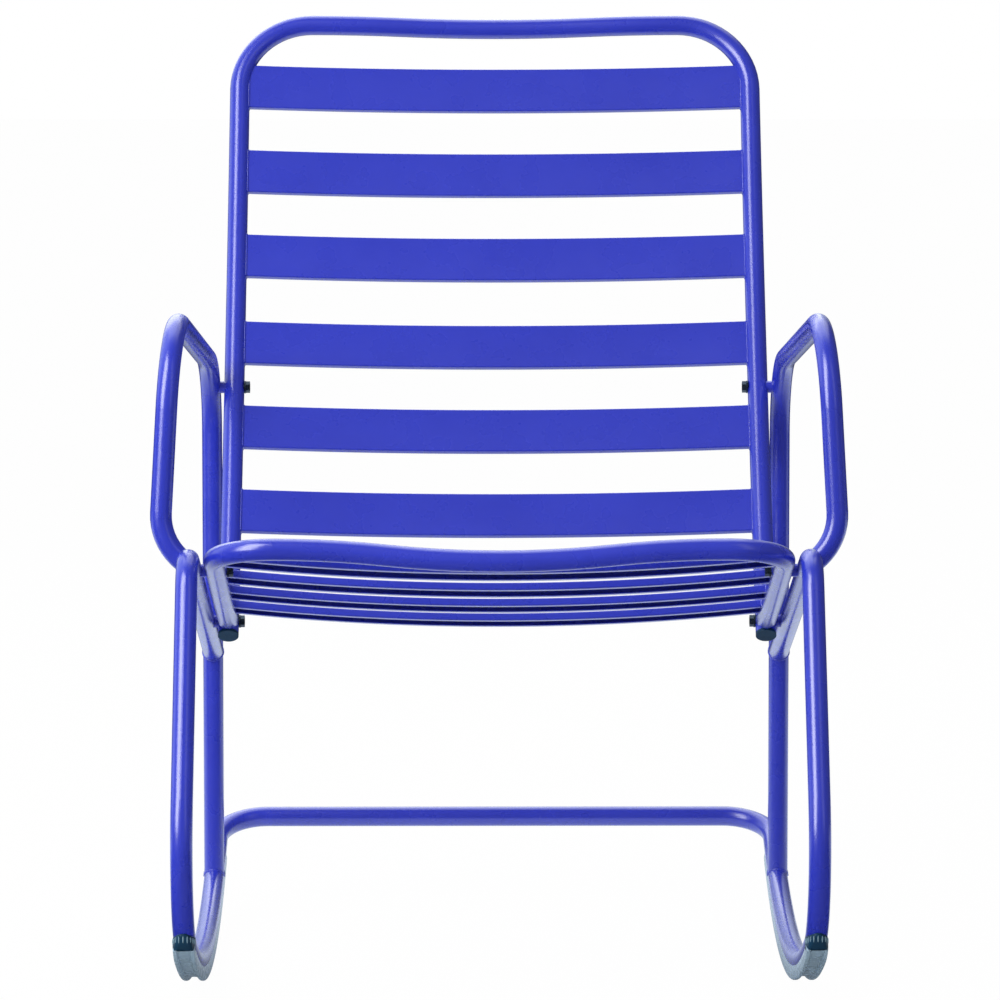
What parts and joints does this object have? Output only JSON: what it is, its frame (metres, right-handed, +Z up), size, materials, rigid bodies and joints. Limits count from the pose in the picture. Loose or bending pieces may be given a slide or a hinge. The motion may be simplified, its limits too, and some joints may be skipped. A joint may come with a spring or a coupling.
{
  "type": "garden rocking chair",
  "caption": "Slatted garden rocking chair of bent steel tube: reclined back, U seat, tube armrests, and a base whose curved runners rock on plastic glides.",
  "frame": {"origin": "on the floor in the centre plane, midway along the line that joins the lowest points of the two runner glides", "axes": "+Z up, the sitter looks along -Y, +X is on the right when the chair is seen from the front"},
  "size_m": [0.639, 0.8652, 0.9054],
  "materials": {
    "blue_powder_coat": "satin ultramarine powder coat on steel",
    "black_steel": "black oxide",
    "zinc_steel": "zinc plated",
    "black_plastic": "smooth moulded",
    "grey_plastic": "smooth extruded"
  },
  "bodies": {
    "root": {"back_frame_tube": "blue_powder_coat", "seat_frame_tube": "blue_powder_coat", "left_base_tube": "blue_powder_coat", "right_base_tube": "blue_powder_coat", "left_arm_tube": "blue_powder_coat", "right_arm_tube": "blue_powder_coat", "rear_crossbar": "blue_powder_coat", "back_slat_1": "blue_powder_coat", "back_slat_2": "blue_powder_coat", "back_slat_3": "blue_powder_coat", "back_slat_4": "blue_powder_coat", "back_slat_5": "blue_powder_coat", "back_slat_6": "blue_powder_coat", "seat_slat_1": "blue_powder_coat", "seat_slat_2": "blue_powder_coat", "seat_slat_3": "blue_powder_coat", "seat_slat_4": "blue_powder_coat", "frame_spacers": "blue_powder_coat", "frame_bolts": "black_steel", "bolt_washers": "black_steel", "threaded_inserts": "zinc_steel", "left_back_end_cap": "black_plastic", "right_back_end_cap": "black_plastic", "left_runner_glide": "grey_plastic", "right_runner_glide": "grey_plastic"}
  },
  "joints": []
}
